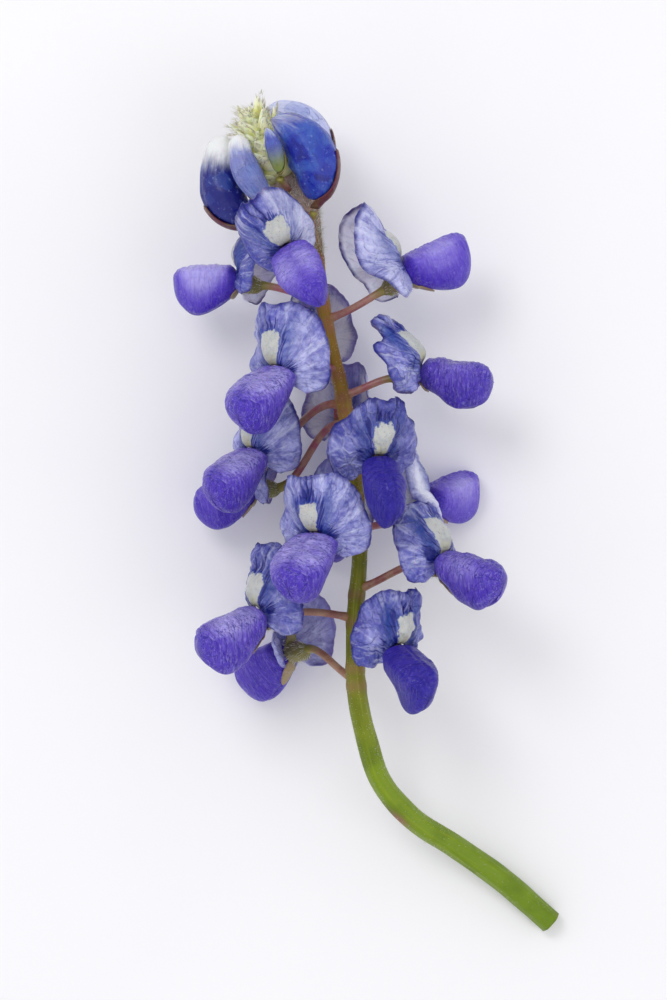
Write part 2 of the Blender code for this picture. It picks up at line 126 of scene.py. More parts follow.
def ringFaces(rings, sides, closeEnd=True):
    faces = []
    for low in range(0, (rings - 1) * sides, sides):
        for side in range(sides):
            after = (side + 1) % sides
            faces.append((low + side, low + after, low + sides + after, low + sides + side))
    faces.append(tuple(reversed(range(sides))))
    if closeEnd:
        faces.append(tuple(range((rings - 1) * sides, rings * sides)))
    return faces


def shellFaces(columns, rows):
    # front and back grids of a thin petal, joined along the rim
    count = columns * rows
    faces = []
    for column in range(columns - 1):
        for a in range(column * rows, column * rows + rows - 1):
            b, c, d = a + 1, a + rows + 1, a + rows
            faces += [(a, b, c, d), (count + a, count + d, count + c, count + b)]
    rim = [*range(0, count, rows), *range(count - rows + 1, count), *range(count - rows - 1, 0, -rows),
        *range(rows - 2, 0, -1)]
    for here, there in zip(rim, rim[1:] + rim[:1]):
        faces.append((here, there, count + there, count + here))
    return faces


def thinShell(middle, thickness, forward):
    # both faces of a petal round its middle surface, front first
    half = gridNormals(middle, forward) * np.asarray(thickness)[..., None] / 2
    return np.concatenate((middle + half, middle - half)), shellFaces(*middle.shape[:2])


def ringTurns(sides):
    return tau * (np.arange(sides) + 0.5) / sides


def alongPath(path):
    return unit(np.gradient(path, axis=0))


def tube(path, radii, sides, flat=1):
    along = alongPath(path)
    across = unit(np.cross(along, (0, 0, 1)))
    other = np.cross(across, along)
    turn = ringTurns(sides)[None, :, None]
    spread = across[:, None] * np.cos(turn) - other[:, None] * np.sin(turn) * flat
    points = path[:, None] + spread * np.reshape(radii, (len(path), -1, 1))
    return points, ringFaces(len(path), sides)


def gather(parts):
    # one mesh from several, each with its points, faces and marks
    points, faces, marks, count = [], [], {}, 0
    for made, shape, values in parts:
        made = np.reshape(made, (-1, 3))
        points.append(made)
        faces += [tuple(count + i for i in face) for face in shape]
        for label, value in values.items():
            marks.setdefault(label, []).append(np.resize(value, len(made)))
        count += len(made)
    return np.concatenate(points), faces, {label: np.concatenate(v) for label, v in marks.items()}


def colour(code):
    # a hex code as the linear colour that shaders take
    channels = [int(code[i:i + 2], 16) / 255 for i in (0, 2, 4)]
    return tuple(c / 12.92 if c <= 0.04045 else ((c + 0.055) / 1.055) ** 2.4 for c in channels) + (1,)


class Amount:
    # a value in a material's nodes: +, - and * on it make more nodes
    def __init__(self, skin, socket):
        self.skin, self.socket = skin, socket

    def maths(self, operation, *others):
        return self.skin.node("Math", dict(enumerate((self, *others))), operation=operation)

    def __add__(self, other):
        return self.maths("ADD", other)

    def __sub__(self, other):
        return self.maths("SUBTRACT", other)

    def __mul__(self, other):
        return self.maths("MULTIPLY", other)

    def ramp(self, low, high, end=1, start=0):
        # start below low and end above high, with a soft change between them
        return self.skin.node("MapRange", dict(enumerate((self, low, high, start, end))),
            interpolation_type="SMOOTHSTEP")


surfaceValues = ("Subsurface Weight", "Subsurface Scale", "Coat Weight", "Coat Roughness",
                 "Specular IOR Level", "Roughness")  # the order of each "surface" below


class Skin:
    # a material while it is made: its nodes, and the colour laid on it so far
    def __init__(self, name, looks, firstColour):
        self.material = bpy.data.materials.new(name)
        self.material.use_nodes = True
        self.looks, self.tree = looks, self.material.node_tree
        self.shader = self.tree.nodes["Principled BSDF"].inputs
        for label, value in zip(surfaceValues, looks["surface"]):
            self.fill(self.shader[label], value)
        self.place = self.node("TexCoord", {}, "Object")
        self.base = colour(looks[firstColour])

    def fill(self, socket, value):
        if isinstance(value, Amount):
            self.tree.links.new(value.socket, socket)
        else:
            socket.default_value = value

    def node(self, kind, values, output=0, **settings):
        node = self.tree.nodes.new("ShaderNode" + kind)
        for label, value in settings.items():
            setattr(node, label, value)
        for label, value in values.items():
            self.fill(node.inputs[label], value)
        return Amount(self, node.outputs[output])

    def marks(self, labels):
        # values stored on the piece's own points
        return [self.node("Attribute", {}, "Fac", attribute_name=label) for label in labels.split()]

    def noise(self, scale, detail=3, roughness=0.55, distortion=0, vector=None, output="Fac"):
        return self.node("TexNoise", {"Vector": vector or self.place, "Scale": scale, "Detail": detail,
            "Roughness": roughness, "Distortion": distortion}, output)

    def streaks(self, x, y, z, *settings):
        # noise stretched along the petal's own ways
        return self.noise(1, *settings, vector=self.node("CombineXYZ", {0: x, 1: y, 2: z}))

    def cells(self, scale, vector=None, output="Distance", feature="F1"):
        values = {"Vector": vector or self.place, "Scale": scale}
        return self.node("TexVoronoi", values, output, feature=feature)

    def mix(self, amount, under, over, mode="MIX"):
        return self.node("Mix", {0: amount, 6: under, 7: over}, 2, data_type="RGBA", blend_type=mode)

    def lay(self, amount, name, mode="MIX"):
        # that much of a colour over what is there
        self.base = self.mix(amount, self.base, colour(self.looks[name]), mode)

    def thinLines(self, value, thin):
        # thin lines where the value crosses a half
        return (value - 0.5).maths("ABSOLUTE").ramp(0, thin, 0, 1)

    def veins(self, around, along, count, waver, thin):
        # fine lines that run along the petal, wavering a little
        bend = (self.streaks(around * 2.2, along * 3, 0, 2, 0.5) - 0.5) * waver
        return self.thinLines((around * count + bend).maths("FRACT"), thin)

    def foldLines(self, across, along, shift, thin):
        # wandering lines that branch and fade
        return self.thinLines(self.streaks(across, along, shift, 2.5, 0.55, 0.6), thin)

    def crumples(self, scale, warp):
        # the small facets of a crumpled petal: the lines between them and a value for each
        waver = self.noise(scale * 0.7, 2, 0.5, output="Color")
        shift = self.node("VectorMath", {0: waver, 1: (warp,) * 3, 2: self.place}, operation="MULTIPLY_ADD")
        facet = self.node("SeparateColor", {0: self.cells(scale, shift, "Color")})
        return self.cells(scale, shift, feature="DISTANCE_TO_EDGE").ramp(0, 0.09, 0, 1), facet

    def close(self, height=None, strength=0, depth=0, rough=None):
        # the colour, the small relief, and where the skin is glossy or dull
        self.fill(self.shader["Base Color"], self.base)
        if height:
            relief = {"Strength": strength, "Distance": depth, "Height": height}
            self.fill(self.shader["Normal"], self.node("Bump", relief, "Normal"))
        if rough:
            self.fill(self.shader["Roughness"], rough.ramp(0.3, 0.7, *reversed(self.looks["rough"])))
        return self.material


print("materials")
bannerLooks = {
    "lavender": "A4A6E2", "violet": "5C5AB8", "grey": "8C90CC", "deep": "3038A0", "ink": "101A7C",
    "teal": "26429A", "cream": "BFC1BE", "straw": "BDBC98", "dust": "A9AEB8", "speck": "6A6C84",
    "pale": "ECEEFF", "back": "9A96DC", "glint": "D6DAF6", "mottle": 380, "grain": 2400, "lines": 6,
    "net": 560, "warp": 0.0016, "edge": 1300, "specks": 2900, "bumps": 1100,
    "surface": (0.12, 0.0006, 0.18, 0.12, 0.3), "rough": (0.26, 0.5),
}
looks = bannerLooks
petal = Skin("bannerPetal", looks, "lavender")
lay = petal.lay
turn, share, patch, ink, pale, back, crease, teal, dark, tone, worn = petal.marks(
    "turn share patch ink pale back crease teal dark tone worn")
broad = petal.noise(looks["mottle"], 4, 0.62, 0.6)
washes = petal.noise(looks["mottle"] * 0.45, 3, 0.6, 0.8)
fine = petal.noise(looks["grain"], 4, 0.6)
streaks = petal.streaks(turn * 8, share * 1.6, worn, 3.5, 0.62, 0.7)
# soft watery patches of lavender, grey and violet; pale is partly the petal's colour, partly painted light
lay(broad.ramp(0.36, 0.68), "violet")
lay(washes.ramp(0.42, 0.66, 0.7), "grey")
lay(pale, "pale")
lay(dark * washes.ramp(0.3, 0.62, 1, 0.6), "deep")
# faint veins that branch outwards and fade in and out
lines = petal.veins(turn, share, looks["lines"], 2.6, 0.14)
folds = petal.foldLines(turn * 3.6, share * 2.4, tone, 0.03)
veinShow = folds.maths("MAXIMUM", lines * 0.4) * washes.ramp(0.36, 0.6, 0.6, 0.1)
lay(veinShow * pale.ramp(0.2, 0.9, 0.25, 1), "deep")
# the facets of a petal that has been wet and cold, and painted glints along the creases between them
net, facet = petal.crumples(looks["net"], looks["warp"])
fineNet = petal.crumples(looks["net"] * 2.4, looks["warp"] * 0.5)[0]
worn = worn * pale.ramp(0.4, 1, 0.2, 1)
lay(worn * facet.ramp(0.5, 1, 0.6), "deep")
netShow = net.maths("MAXIMUM", fineNet * 0.3) * washes.ramp(0.5, 0.62, 0.7)
lay(netShow * worn, "glint")
# streaks that fan out from the throat, and a fine grain whose pale flecks are painted glints
calmer = pale.ramp(0.4, 1, 0.3, 1)
lay(calmer * streaks.ramp(0.5, 0.68, 0.5), "deep")
lay(calmer * streaks.ramp(0.48, 0.3, 0.55), "glint")
lay(calmer * fine.ramp(0.5, 0.7, 0.28), "deep")
lay(fine.ramp(0.5, 0.32, 0.2), "glint")
# painted shade in deep blue beside the pale patch, the ink above it, painted shade as ink in the folds, ink
# along the edge
lay(teal * broad.ramp(0.3, 0.62, 1, 0.55), "teal")
strokes = petal.streaks(turn * 24, share * 2, 0, 2, 0.5, 0.3)
inkEdge = ink + (streaks * 0.9 + strokes * 1.7 - 1.3) * ink.ramp(0.03, 0.25)
lay(inkEdge.ramp(0.2, 0.6, 0.95), "ink")
lay(crease * streaks.ramp(0.3, 0.55, 1, 0.6), "ink")
lay(share.ramp(0.91, 0.985) * broad.ramp(0.35, 0.6, 0.95, 0.35), "ink")
lay(back * pale.ramp(0, 0.6, 0, 0.5), "back")
lay(tone, "violet", "MULTIPLY")
# the pale patch, worn at its edges, straw towards the throat, with dark specks
wander = petal.noise(looks["edge"], 3, 0.6) + streaks * 0.7 - 0.85
patchEdge = patch + wander * patch.ramp(0.02, 0.25, 1.1)
# the deep blue of the painted shade also rings the patch
lay(patchEdge.ramp(0.08, 0.34) * 0.6, "teal")
surround, petal.base = petal.base, colour(looks["cream"])
lay(share.ramp(0.3, 0.05), "straw")
lay(fine.ramp(0.42, 0.7, 0.5), "dust")
lay(petal.cells(looks["specks"]).ramp(0.08, 0.2, 0, 0.7), "speck")
petal.base = petal.mix(patchEdge.ramp(0.34, 0.56), surround, petal.base)
height = fine * 0.5 + (folds * -0.4 + petal.noise(looks["bumps"]))
height = height + (facet * 0.7 + net) * (worn * patch.ramp(0.2, 0.5, 0.1, 1))
bannerMaterial = petal.close(height, 0.7, 0.00016, broad)

wingsLooks = {
    "light": "B2A9F0", "violet": "6A52CE", "deep": "4628B8", "blue": "170A96", "mottle": 360,
    "clouds": 620, "grain": 2400, "surface": (0.1, 0.0006, 0.22, 0.1, 0.25), "rough": (0.24, 0.44),
}
looks = wingsLooks
petal = Skin("wingPetals", looks, "deep")
lay = petal.lay
around, share, flank, edge, seam, deepness, wrinkle = petal.marks(
    "around share flank edge seam deepness wrinkle")
broad = petal.noise(looks["mottle"], 3, 0.55, 0.5)
fine = petal.noise(looks["grain"], 4, 0.6)
# painted light on the full part of each wing, and painted shade darkening towards its tip and keel
light = flank + (broad - 0.5) * 0.5
lay(light.ramp(0, 0.5), "violet")
lay(light.ramp(0.3, 0.95, 0.95), "light")
lay(edge, "deep")
clouds = petal.noise(looks["clouds"], 3, 0.6, 1)
lay(wrinkle * clouds.ramp(0.5, 0.7, 0.5), "violet")
lay(wrinkle * clouds.ramp(0.46, 0.3, 0.4), "deep")
# fine curved wrinkles across the wing: painted highlight on their ridges, painted shade in their hollows
# and folds
pleats = petal.streaks(share * 42, around * 3.4, deepness, 4, 0.62, 1.2)
lay(wrinkle * pleats.ramp(0.5, 0.68, 0.45), "light")
lay(wrinkle * pleats.ramp(0.5, 0.36, 0.65), "deep")
folds = petal.foldLines(share * 11, around * 1.5, deepness, 0.035) * wrinkle
lay(folds * broad.ramp(0.35, 0.6, 0.75, 0.15), "blue")
lay(petal.veins(around, share, 3.6, 1.9, 0.16) * 0.14, "deep")
# painted shade along the seam where the two wings meet
lay(seam, "blue")
lay(fine.ramp(0.54, 0.78, 0.3), "light")
lay(deepness * 0.9, "blue")
height = pleats * (wrinkle * 1.4) + (folds * -0.45 + fine * 0.35)
wingsMaterial = petal.close(height, 0.9, 0.0002, broad)

calyxLooks = {"olive": "80843E", "tan": "9C8C68", "maroon": "560820", "rose": "8A5064",
    "surface": (0.15, 0.0008, 0.2, 0.25), "rough": (0.35, 0.6)}
skin = Skin("calyxSkin", calyxLooks, "olive")
lay = skin.lay
along, warm = skin.marks("along warm")
broad, fine = skin.noise(500), skin.noise(3000, 4)
lay(along.ramp(0.15, 0.75), "tan")
lay(fine.ramp(0.5, 0.75, 0.4), "rose")
lay(broad.ramp(0.5, 0.7, 0.4), "rose")
lay(warm * broad.ramp(0.3, 0.6, 1, 0.75), "maroon")
calyxMaterial = skin.close(fine, 0.7, 0.00015, broad)

stemLooks = {
    "green": "688400", "freshGreen": "748C00", "olive": "7A7A0C", "ochre": "9C7420", "grey": "A68E88",
    "rose": "9C4A5E", "streak": "9CAC24", "fleck": "B4BA60",
    "surface": (0.12, 0.0012, 0.06, 0.3, 0.3), "rough": (0.34, 0.55),
    "stops": ((0, "green"), (0.30, "freshGreen"), (0.42, "olive"), (0.58, "olive"),
              (0.72, "ochre"), (0.88, "ochre"), (0.97, "grey")),
}
looks = stemLooks
skin = Skin("stemSkin", looks, "green")
lay = skin.lay
level, around, scar = skin.marks("level around scar")
skin.base = skin.node("ValToRGB", {"Fac": level}, "Color")
stops = skin.base.socket.node.color_ramp.elements
while len(stops) < len(looks["stops"]):
    stops.new(0.5)
for stop, (position, name) in zip(stops, looks["stops"]):
    stop.position, stop.color = position, colour(looks[name])
broad, fine = skin.noise(300), skin.noise(2400, 4)
lay(broad.ramp(0.4, 0.75, 0.45), "freshGreen", "MULTIPLY")
streaks = skin.streaks(around * 3.2, level * 9, 0, 3, 0.6)
lay(streaks.ramp(0.5, 0.72, 0.35), "streak")
lay(scar, "rose")
lay(fine.ramp(0.55, 0.8, 0.15), "fleck")
stemMaterial = skin.close(streaks + fine, 0.45, 0.00012, broad)

stalkLooks = {"brown": "82523C", "rose": "9C4A5E", "tan": "A8886C", "olive": "7A7A0C", "ochre": "9C7420",
    "surface": (0.15, 0.0008, 0.2, 0.25, 0.5, 0.42)}
skin = Skin("stalkSkin", stalkLooks, "brown")
lay = skin.lay
along, warm = skin.marks("along warm")
broad, fine = skin.noise(700), skin.noise(3000, 4)
lay(warm, "rose")
lay(broad.ramp(0.35, 0.7, 0.7), "tan")
lay(fine.ramp(0.5, 0.72, 0.5), "brown")
lay(along.ramp(0.62, 0.95, 0.85), "olive")
lay(along.ramp(0.2, 0, 0.8), "ochre")
stalkMaterial = skin.close(fine, 0.4, 0.0001)

budLooks = {
    "royal": "1C2CA2", "deep": "181A74", "mid": "3F62B8", "pale": "C8CEF2", "white": "E6E8EA",
    "sky": "8CA0DC", "olive": "7F8C48", "surface": (0.1, 0.0006, 0.16, 0.14, 0.3), "rough": (0.24, 0.44),
}
petal = Skin("budPetal", budLooks, "royal")
lay = petal.lay
around, share, white, violet, pale, olive = petal.marks("around share white violet pale olive")
broad, fine = petal.noise(430, 4, 0.6, 0.8), petal.noise(2300, 4)
lay(broad.ramp(0.4, 0.7), "mid")
lay(violet, "deep")
lay(broad.ramp(0.46, 0.3, 0.75), "deep")
lay(pale, "pale")
lines = petal.veins(around, share, 3.4, 2.6, 0.2)
lay(lines * broad.ramp(0.35, 0.65, 0.3, 0.05), "deep")
lay(petal.foldLines(around * 1.6, share * 4, violet, 0.03) * 0.4, "deep")
net, facet = petal.crumples(700, 0.0012)
lay(facet.ramp(0.6, 1, 0.35), "mid")
lay(fine.ramp(0.58, 0.74, 0.4), "sky")
# the white tip, streaked where it ends, and the green foot of a young bud
streaks = petal.streaks(around * 2.6, share * 3, 0, 3, 0.6)
whiteEdge = white + (streaks - 0.5) * white.ramp(0, 0.15, 0.9)
lay(whiteEdge.ramp(0.1, 0.85), "white")
lay(olive, "olive")
budMaterial = petal.close(fine + broad, 0.6, 0.00014, broad)

tuftLooks = {"green": "DADB78", "light": "FAF6CE", "shade": "ACAE4C", "tip": "F4F3E2",
    "surface": (0.2, 0.001, 0.25, 0.2, 0.5, 0.5)}
skin = Skin("tuftBracts", tuftLooks, "green")
lay = skin.lay
along, = skin.marks("along")
broad, fine = skin.noise(520), skin.noise(2800, 4)
lay(broad.ramp(0.3, 0.65), "light")
lay(along.ramp(0.3, 0, 0.8), "shade")
lay(along.ramp(0.55, 1, 0.75), "tip")
tuftMaterial = skin.close(fine, 0.4, 0.0001)

hairLooks = {"silver": "EDEDE6", "cream": "D8D4BE", "surface": (0.1, 0.0004, 0.2, 0.15, 0.5, 0.3)}
hair = Skin("silkyHair", hairLooks, "silver")
lay = hair.lay
lay(hair.noise(900).ramp(0.35, 0.65), "cream")
hairMaterial = hair.close()


stem = {
    # x, y, z and radius along the stem, from the cut end to the tip
    "line": ((21.4, -25.4, -10.26, 1.25), (16.2, -20.8, -9.2, 1.25), (11, -17, -7.4, 1.22),
             (6.6, -14, -5.2, 1.18), (3.2, -10, -3, 1.14), (1.6, -5.4, -1.2, 1.1),
             (0.5, 0, 0, 1), (0.3, 7.1, 0, 0.85), (0.8, 14, 0, 0.8),
             (0.5, 20, 0, 0.76), (-0.8, 29.9, 0, 0.74), (-2.6, 38, 0, 0.7),
             (-3.9, 46, 0.2, 0.85), (-5.2, 50.2, 0.5, 1.7), (-6.9, 53.4, 0.9, 1.9)),
    "sides": 32, "steps": 18, "ribs": 6, "ribDepth": 0.035, "blushAt": 21,
    "stalkRadius": 0.4, "stalkSides": 14, "stalkSteps": 22, "stalkRise": 0.25,
}

# The form and colour of an ordinary bloom: its banner's outline, its pale patch and sharp folds, how pale
# (partly painted light), dark, blue (painted shade beside the patch) or crumpled it is, and where painted
# light falls on its wings.
ordinary = dict(
    up=(0, 1, 0), plump=1, narrow=1, taller=0, waist=0, droop=1.5, patchSize=0.8, patchAt=0, creases=(),
    pale=0, paleLeft=0, paleRight=0, dark=0, darkLeft=0, darkRight=0, blue=1, ink=1, blot=0.8, tone=0,
    crumple=1, flank=0.8, lightAt=1.2, deep=0, seam=0.15, wrinkle=1, shallow=1, point=0, lip=0.2, warm=0.25)
# blooms behind the stem are pale, partly their own colour and partly painted light where they lie in shade
behind = dict(pale=1, blue=0.2, ink=0.2, crumple=0.5, deep=0.15)
# One row for each bloom, from the tip down: the height where its stalk leaves the stem, where its
# petals meet, where its wings point, its size, how its banner folds and leans, and what is its own.
bloomRows = (
    (45.5, (-6.7, 45.9, 6.6), (0.36, -0.66, 0.66), 0.94, 46, 2, dict(up=(-0.62, 1, 0), plump=0.82,
     narrow=0.74, taller=1.8, patchSize=1.3, patchAt=-0.3, creases=(1.6, 0.6), paleLeft=0.62, dark=0.55,
     darkRight=0.6, crumple=0.8, flank=0.75, lightAt=0.5, wrinkle=0.6, point=0.15)),
    (40.6, (-12.1, 43.5, -2.4), (-0.97, 0, -0.2), 0.9, 70, 4, dict(up=(0, 1, -0.2), narrow=0.9, droop=0.2,
     patchAt=-0.3, paleRight=0.9, darkLeft=0.9, flank=1.5, wrinkle=0.35, lip=0)),
    (38.9, (5.4, 44.2, 0.2), (0.84, 0.44, -0.24), 0.98, 74, 4, dict(taller=1.4, droop=0, patchSize=1.1,
     patchAt=0.5, paleLeft=1, paleRight=0.32, blue=0.9, crumple=0.5, flank=0.7, wrinkle=0.35)),
    (33.4, (-7.7, 33, 5.3), (-0.58, -0.42, 0.7), 1, 46, 20, dict(taller=0.4, patchSize=1.1, patchAt=0.1,
     creases=(2.2, 1.2), pale=0.2, darkRight=0.5, blue=0.9, flank=1.25, lightAt=0.6, seam=0.3)),
    (29.6, (-10.4, 24.6, 0), (-0.64, -0.42, 0.64), 0.95, 50, 36, dict(patchSize=0.9, creases=(-1.2,),
     pale=0.1, blue=0.9, flank=1, lightAt=0.7, seam=0.3)),
    (27.2, (-10.5, 21.6, -5.8), (-0.95, -0.2, -0.1), 0.88, 64, 16, dict(narrow=0.74, pale=0.2, blue=0.8,
     flank=0.5, deep=0.1, wrinkle=0.5)),
    (30.8, (7.4, 33.6, 1), (0.98, -0.06, 0.06), 0.98, 76, 48, dict(taller=0.6, waist=0.24, droop=0.9,
     patchSize=1.35, patchAt=0.7, creases=(-1.2, 1.6), dark=0.25, blue=1.1, crumple=2.2, flank=0.55,
     deep=0.12, shallow=0.86, lip=0.02)),
    (23, (2.6, 23.8, 6.6), (0.26, -0.55, 0.79), 1, 42, 10, dict(plump=0.66, narrow=0.9, waist=0.1,
     patchSize=1.1, creases=(-1.9, 1.3), dark=0.42, tone=0.45, crumple=1.9, flank=0.4, deep=0.9, seam=0.9,
     point=0.3)),
    (16.8, (8, 20, -6.45), (0.64, 0.32, -0.56), 0.94, 74, 6, dict(plump=0.9, narrow=0.92, taller=0.8,
     droop=0, patchSize=0.9, patchAt=0.5, pale=1, dark=0.05, blue=0.7, flank=0.85, wrinkle=0.35)),
    (15.6, (-3.7, 15.8, 5.9), (-0.42, -0.5, 0.76), 1, 44, 12, dict(patchSize=0.95, creases=(-0.6, 0.1, 0.7),
     pale=0.1, blue=0.9, ink=1.25, blot=1.1, flank=1.2, lightAt=0.5, seam=0.3)),
    (10.3, (9.6, 13.6, 4), (0.82, -0.2, 0.54), 0.98, 52, 40, dict(narrow=0.95, droop=0.8, patchSize=1.35,
     patchAt=0.5, creases=(-1.4,), dark=0.35, blue=1.1, blot=1.5, tone=0.1, crumple=1.7, flank=0.7,
     deep=0.08, shallow=0.92)),
    (7.4, (-9.9, 7.9, 2), (-0.82, -0.32, 0.46), 1, 56, 26, dict(taller=0.6, waist=0.2, patchSize=1.05,
     patchAt=-0.5, creases=(-1, 0.7), dark=0.42, tone=0.27, crumple=1.6, flank=1.15, lightAt=0.8)),
    (0.8, (-6.9, 4.1, -6.372), (-0.66, -0.34, -0.62), 0.94, 62, 14, dict(pale=0.3, blue=0.6, flank=0.3,
     deep=0.15, wrinkle=0.6, warm=0.3)),
    (2.6, (4.7, 4.2, 5), (0.5, -0.48, 0.72), 0.94, 58, 14, dict(plump=0.85, narrow=0.92, patchSize=1.05,
     creases=(-1.4, 1.1), dark=0.7, blue=1.1, tone=0.2, crumple=2.6, flank=0.25, lightAt=0.6, deep=0.8,
     point=0.15)),
    (31, (-0.4, 28.3, -5.681), (0.36, -0.22, -0.9), 0.88, 60, 10, behind),
    (20.4, (-1.6, 18, -5.396), (-0.1, -0.2, -0.95), 0.88, 60, 10, dict(behind, narrow=0.86)),
    (38.2, (-4.4, 36.9, -5.228), (-0.3, 0, -0.95), 0.88, 60, 4, behind),
)
columns = ("root", "throat", "faces", "size", "fold", "lean")
blooms = [SimpleNamespace(number=number, **{**ordinary, **dict(zip(columns, row)), **row[6]})
    for number, row in enumerate(bloomRows, start=1)]


def bloomFrame(row):
    # the bloom's own axes: across, the way it faces, and up its banner
    forward = unit(row.faces)
    up = unit(row.up - forward * forward.dot(row.up))
    return np.array((np.cross(forward, up), forward, up))


def toSpike(points, row):
    return np.asarray(points) * row.size @ bloomFrame(row) + row.throat


def addShell(name, slot, node, material, middle, thickness, forward, marks, row=None):
    points, faces = thinShell(middle, thickness, forward)
    addPiece(name, slot, node, material, toSpike(points, row) if row else points, faces, marks)


stemLine = smoothLine(stem["line"], stem["steps"])
stemPath, stemRadii = stemLine[:, :3], stemLine[:, 3]
stemWays = alongPath(stemPath)
tipWay = unit(stemPath[-1] - stemPath[-2])


def stemPoint(height):
    above = stemPath[:, 1] >= height
    return stemPath[np.argmax(above) if above[-1] else -1]


print("stem")
sides = stem["sides"]
path = np.concatenate((stemPath, stemPath[-1:] + tipWay * 0.5))
turn = ringTurns(sides)
length = np.append(0, np.cumsum(np.linalg.norm(np.diff(path, axis=0), axis=1)))
radii = np.append(stemRadii, stemRadii[-1] * 0.9)[:, None]
radii = radii * (1 + stem["ribDepth"] * np.cos(stem["ribs"] * turn))
radii = radii * (1 + 0.02 * ripple(np.sin(turn) * 2, length[:, None], 11, 5))
scar = np.zeros_like(radii)
for row in blooms:  # a slight swelling and a scar where each stalk leaves
    near = hump(path[:, 1], row.root - 0.3, 0.55)[:, None]
    radii = radii * (1 + 0.1 * near)
    scar = np.maximum(scar, near * 0.3)
blush = hump(length, stem["blushAt"], 1.1)[:, None] * ease(0.2, 0.9, -np.cos(turn))
scar = np.maximum(scar, blush * 0.6)
marks = {"level": np.repeat(length / length[-1], sides), "around": turn, "scar": scar}
addPiece("stem_skin", "stem", "stem", stemMaterial, *tube(path, radii, sides), marks)


wings = {
    "start": 0.65, "length": 7, "width": 6.8, "above": 1.3, "below": 4.8,
    "keel": 0.25, "widthArc": (0.32, 0.3), "depthArc": (0.17, 0.46),
    "rings": 64, "sides": 84, "clawRings": 7, "clawLength": 1.9,
    "seamDepth": 0.12, "keelDepth": 0.14, "dimple": 0.16, "lumps": 0.07, "pleats": 0.05,
}


def wingsSurface(share, around, row, grow=0):
    # a point on the closed pair of wings; share below 0 is on the claws that reach into the calyx
    claw, share = np.clip(-share, 0, 1), np.clip(share, 0, 1)
    start, sweep = wings["widthArc"]
    halfWidth = wings["width"] / 2 * np.sin(pi * (start + sweep * share)) * np.sqrt(1 - share ** 4)
    drop = row.droop * share ** 3
    above = (wings["above"] + drop) * np.sqrt(1 - share ** 6)
    start, sweep = wings["depthArc"]
    deep = wings["below"] * np.sin(pi * (start + sweep * share))
    below = (deep - drop) * np.sqrt(1 - share ** 5) * row.shallow
    slim = 1 - 0.72 * ease(0, 0.7, claw)
    cosine, sine = np.cos(around), np.sin(around)
    height = -drop + cosine * np.where(cosine > 0, above, below) * slim - 0.75 * claw
    narrowing = 1 - row.point * ease(0.35, 1, share)
    keel = 1 - wings["keel"] * np.maximum(0, -cosine)
    across = halfWidth * row.plump * narrowing * sine * slim * keel
    forward = wings["start"] + wings["length"] * share - wings["clawLength"] * claw
    points = np.stack(np.broadcast_arrays(across, forward, height), -1)
    return points + np.stack(np.broadcast_arrays(sine, 0 * share, cosine), -1) * grow


def makeWings(row):
    number, rings, sides, claw = row.number, wings["rings"], wings["sides"], wings["clawRings"]
    name = "bloom_%02d_wing" % number
    closing = np.sin(pi / 2 * np.linspace(0, 0.985, rings))  # rings stand closer towards the tip
    share = np.append(-np.linspace(1, 0, claw, endpoint=False), closing)[:, None]
    around = tau * np.arange(sides) / sides
    signed = np.where(around > pi, around - tau, around) + 0 * share
    share = share + 0 * around
    points = wingsSurface(share, around, row)
    normals = gridNormals(points)
    centre = points.mean(axis=1, keepdims=True)
    normals *= np.sign(np.sum(normals * (points - centre), axis=2, keepdims=True) + 1e-12)
    # the seam, the keel, a dimple in each flank, lumps and fine pleats
    body = ease(0, 0.12, share) * ease(1, 0.9, share)
    seam = hump(signed, 0, 0.09) * ease(-0.1, 0.1, share)
    keel = hump(np.abs(signed), pi, 0.12) * ease(0, 0.2, share)
    depth = -wings["seamDepth"] * seam * ease(1, 0.8, share) - wings["keelDepth"] * keel
    draw = random.Random(100 + number)
    for flank in (-1, 1):
        along, aside = draw.uniform(0.66, 0.78), flank * draw.uniform(0.9, 1.3)
        depth = depth - wings["dimple"] * hump(share, along, 0.12) * hump(signed, aside, 0.42)
    shape = ripple(signed * 1.5, share * 6, 200 + number, 2.6)
    depth = depth + wings["lumps"] * row.crumple * shape * body
    pleats = ripple(signed * 0.35, share * 7, 300 + number, 0.4)
    depth = depth + wings["pleats"] * pleats * body * ease(2.6, 1.6, np.abs(signed))
    points = points + normals * depth[..., None]
    tip = toSpike(points[-1].mean(axis=0) + (0, 0.06, 0), row)
    points = toSpike(points, row).reshape(-1, 3)
    count = len(points)
    faces = ringFaces(rings + claw, sides, closeEnd=False)
    faces += [(count - sides + s, count - sides + (s + 1) % sides, count) for s in range(sides)]
    # painted light on each wing's full flank; painted shade towards the tip, along the keel and in the seam
    light = hump(np.abs(signed), row.lightAt, 1) * hump(share, 0.42, 0.46) * row.flank
    rim = np.maximum(ease(0.72, 0.98, share) * 0.85, hump(np.abs(signed), pi, 0.7) * 0.8)
    marks = {"around": signed, "share": share, "flank": light, "edge": rim,
        "seam": hump(signed, 0, 0.06) * row.seam, "deepness": row.deep, "wrinkle": row.wrinkle}
    marks = {label: np.append(values, np.ravel(values)[-1]) for label, values in marks.items()}
    addPiece(name + "_petals", "wings", name + "s", wingsMaterial, np.concatenate((points, tip[None])),
        faces, marks)


banner = {
    "thickness": 0.24, "rim": 0.08, "sweep": radians(134), "radius": 5.95, "rise": 1.4,
    "inner": 0.8, "innerRise": 0.3, "notch": 0.4, "notchWidth": 0.2, "wave": 0.25, "waves": 4,
    "foldEase": 1.8, "foldSteps": 10, "foldFullAt": 2.5, "lobeFold": 0.62,
    "leanFrom": 1, "leanEase": 0.8, "bulge": 0.8, "bulgeHeight": 3.8, "bulgeWidth": 2.2,
    "waistAt": 0.8, "waistWidth": 0.3, "patchHeight": 4.3,
    "columns": 141, "rows": 39, "ruffle": 0.06, "pleat": 0.08, "curl": 0.45, "crumple": 0.1,
}


